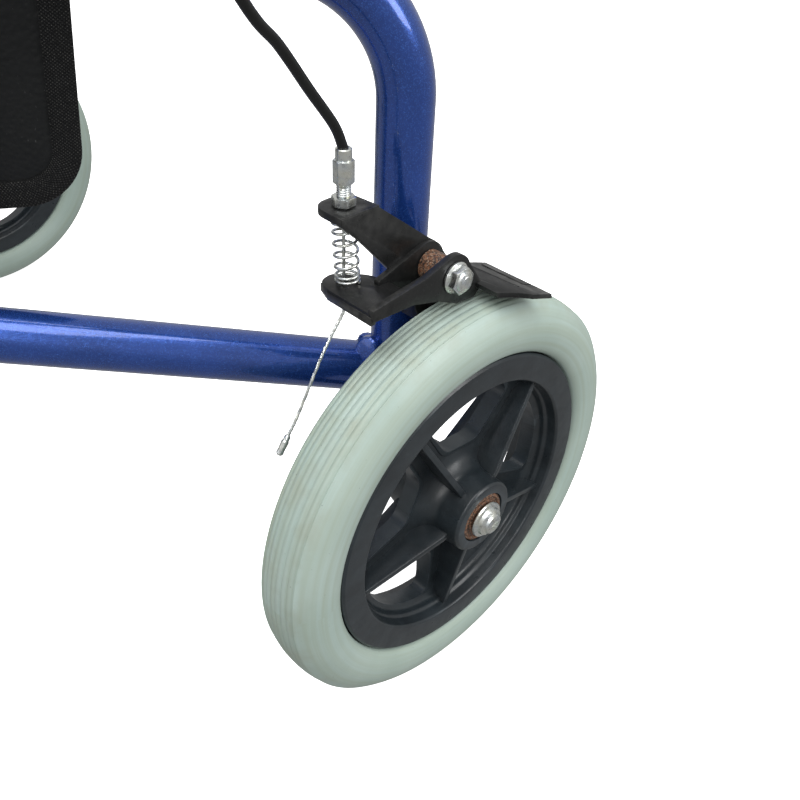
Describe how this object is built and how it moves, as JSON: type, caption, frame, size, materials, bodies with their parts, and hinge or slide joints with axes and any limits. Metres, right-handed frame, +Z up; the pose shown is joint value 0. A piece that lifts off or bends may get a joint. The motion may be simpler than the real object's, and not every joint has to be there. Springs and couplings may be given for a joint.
{
  "type": "three-wheel walking frame",
  "caption": "Folding three-wheel walking frame with V-shaped tube frame, swivel front wheel, cable brakes with tyre shoes, adjustable handles and a hanging bag.",
  "frame": {"origin": "middle of the footprint, on the floor", "axes": "+Z up, +X the walker's left, -Y the castor end, +Y the user's end"},
  "size_m": [0.5636, 0.501, 0.897],
  "materials": {
    "frame_paint": "metallic blue gloss",
    "black_paint": "satin black enamel",
    "tyre_grey": "pale grey-green solid tyre",
    "rim_plastic": "moulded dark grey nylon",
    "zinc": "zinc plated",
    "chrome": "bright",
    "black_plastic": "moulded",
    "grip_rubber": "soft matte",
    "bronze": "tarnished sintered bronze",
    "cable_black": "glossy black cover",
    "bag_vinyl": "black leathercloth"
  },
  "bodies": {
    "column": {"front_column": "frame_paint", "castor_bush": "black_plastic", "column_cap": "black_plastic", "head_plate_lower": "frame_paint", "head_plate_upper": "frame_paint", "hinge_bolt_l": "zinc", "hinge_bolt_r": "zinc", "fold_guide_bar": "black_paint", "bag": "bag_vinyl"},
    "castor": {"castor_fork": "frame_paint", "castor_axle": "zinc"},
    "castor_wheel": {"castor_tyre": "tyre_grey", "castor_rim": "rim_plastic", "castor_bearing": "bronze"},
    "slider": {"fold_slider": "black_plastic"},
    "frame_left": {"hinge_post_l": "frame_paint", "lower_bar_l": "frame_paint", "rear_rail_l": "frame_paint", "upper_bar_l": "frame_paint", "handle_sleeve_l": "frame_paint", "rear_axle_l": "zinc", "brake_bracket_l": "black_paint", "brake_pivot_bolt_l": "zinc", "brake_spring_l": "zinc", "cable_adjuster_l": "zinc", "cable_housing_l": "cable_black"},
    "wheel_left": {"rear_l_tyre": "tyre_grey", "rear_l_rim": "rim_plastic", "rear_bearing_l": "bronze"},
    "brake_left": {"brake_lever_l": "black_paint", "brake_wire_l": "zinc"},
    "handle_left": {"handle_tube_l": "chrome", "grip_l": "grip_rubber", "lever_mount_l": "black_plastic"},
    "hand_lever_left": {"hand_lever_l": "black_paint"},
    "knob_left": {"height_knob_l": "black_plastic"},
    "link_left": {"fold_link_l": "zinc"},
    "frame_right": {"hinge_post_r": "frame_paint", "lower_bar_r": "frame_paint", "rear_rail_r": "frame_paint", "upper_bar_r": "frame_paint", "handle_sleeve_r": "frame_paint", "rear_axle_r": "zinc", "brake_bracket_r": "black_paint", "brake_pivot_bolt_r": "zinc", "brake_spring_r": "zinc", "cable_adjuster_r": "zinc", "cable_housing_r": "cable_black"},
    "wheel_right": {"rear_r_tyre": "tyre_grey", "rear_r_rim": "rim_plastic", "rear_bearing_r": "bronze"},
    "brake_right": {"brake_lever_r": "black_paint", "brake_wire_r": "zinc"},
    "handle_right": {"handle_tube_r": "chrome", "grip_r": "grip_rubber", "lever_mount_r": "black_plastic"},
    "hand_lever_right": {"hand_lever_r": "black_paint"},
    "knob_right": {"height_knob_r": "black_plastic"},
    "link_right": {"fold_link_r": "zinc"}
  },
  "joints": [
    {"name": "castor_swivel", "type": "hinge", "parent": "column", "child": "castor", "pos_m": [0, -0.1955, 0], "axis": [0, 0, 1], "continuous": true},
    {"name": "castor_spin", "type": "hinge", "parent": "castor", "child": "castor_wheel", "pos_m": [0, -0.1505, 0.1], "axis": [1, 0, 0], "continuous": true},
    {"name": "fold_slide", "type": "slide", "parent": "column", "child": "slider", "axis": [0, 1, 0], "range_m": [-0.0154, 0]},
    {"name": "fold_left", "type": "hinge", "parent": "column", "child": "frame_left", "pos_m": [0.032, -0.15147, 0], "axis": [0, 0, 1], "range_deg": [0, 24], "deforming": ["bag"]},
    {"name": "wheel_left_spin", "type": "hinge", "parent": "frame_left", "child": "wheel_left", "pos_m": [0.254, 0.1345, 0.1], "axis": [1, 0, 0], "continuous": true},
    {"name": "brake_shoe_left", "type": "hinge", "parent": "frame_left", "child": "brake_left", "pos_m": [0.244, 0.126, 0.215], "axis": [1, 0, 0], "range_deg": [-4, 0], "deforming": ["brake_spring_l", "brake_wire_l"]},
    {"name": "handle_height_left", "type": "slide", "parent": "frame_left", "child": "handle_left", "axis": [0.1129, 0.1746, 0.9781], "range_m": [-0.06, 0.06], "deforming": ["cable_housing_l"]},
    {"name": "brake_grip_left", "type": "hinge", "parent": "handle_left", "child": "hand_lever_left", "pos_m": [0.19073, 0.1435, 0.856], "axis": [1, 0, 0], "range_deg": [0, 12]},
    {"name": "knob_turn_left", "type": "hinge", "parent": "frame_left", "child": "knob_left", "pos_m": [0.15124, 0.03285, 0.538], "axis": [0.8396, -0.5432, 0], "range_deg": [0, 360]},
    {"name": "link_turn_left", "type": "hinge", "parent": "frame_left", "child": "link_left", "pos_m": [0.09718, -0.05072, 0.23], "axis": [0, 0, 1], "range_deg": [0, 4.78]},
    {"name": "fold_right", "type": "hinge", "parent": "column", "child": "frame_right", "pos_m": [-0.032, -0.15147, 0], "axis": [0, 0, 1], "range_deg": [-24, 0]},
    {"name": "wheel_right_spin", "type": "hinge", "parent": "frame_right", "child": "wheel_right", "pos_m": [-0.254, 0.1345, 0.1], "axis": [1, 0, 0], "continuous": true},
    {"name": "brake_shoe_right", "type": "hinge", "parent": "frame_right", "child": "brake_right", "pos_m": [-0.244, 0.126, 0.215], "axis": [1, 0, 0], "range_deg": [-4, 0], "deforming": ["brake_spring_r", "brake_wire_r"]},
    {"name": "handle_height_right", "type": "slide", "parent": "frame_right", "child": "handle_right", "axis": [-0.1129, 0.1746, 0.9781], "range_m": [-0.06, 0.06], "deforming": ["cable_housing_r"]},
    {"name": "brake_grip_right", "type": "hinge", "parent": "handle_right", "child": "hand_lever_right", "pos_m": [-0.19073, 0.1435, 0.856], "axis": [1, 0, 0], "range_deg": [0, 12]},
    {"name": "knob_turn_right", "type": "hinge", "parent": "frame_right", "child": "knob_right", "pos_m": [-0.15124, 0.03285, 0.538], "axis": [-0.8396, -0.5432, 0], "range_deg": [0, 360]},
    {"name": "link_turn_right", "type": "hinge", "parent": "frame_right", "child": "link_right", "pos_m": [-0.09718, -0.05072, 0.23], "axis": [0, 0, 1], "range_deg": [-4.78, 0]}
  ],
  "couplings": [
    {"joint": "fold_right", "follows": "fold_left", "ratio": -1},
    {"joint": "fold_slide", "follows": "fold_left", "m_per_rad": -0.036292},
    {"joint": "link_turn_left", "follows": "fold_left", "ratio": 0.19822},
    {"joint": "brake_shoe_left", "follows": "brake_grip_left", "ratio": -0.333},
    {"joint": "link_turn_right", "follows": "fold_left", "ratio": -0.19822},
    {"joint": "brake_shoe_right", "follows": "brake_grip_right", "ratio": -0.333}
  ]
}
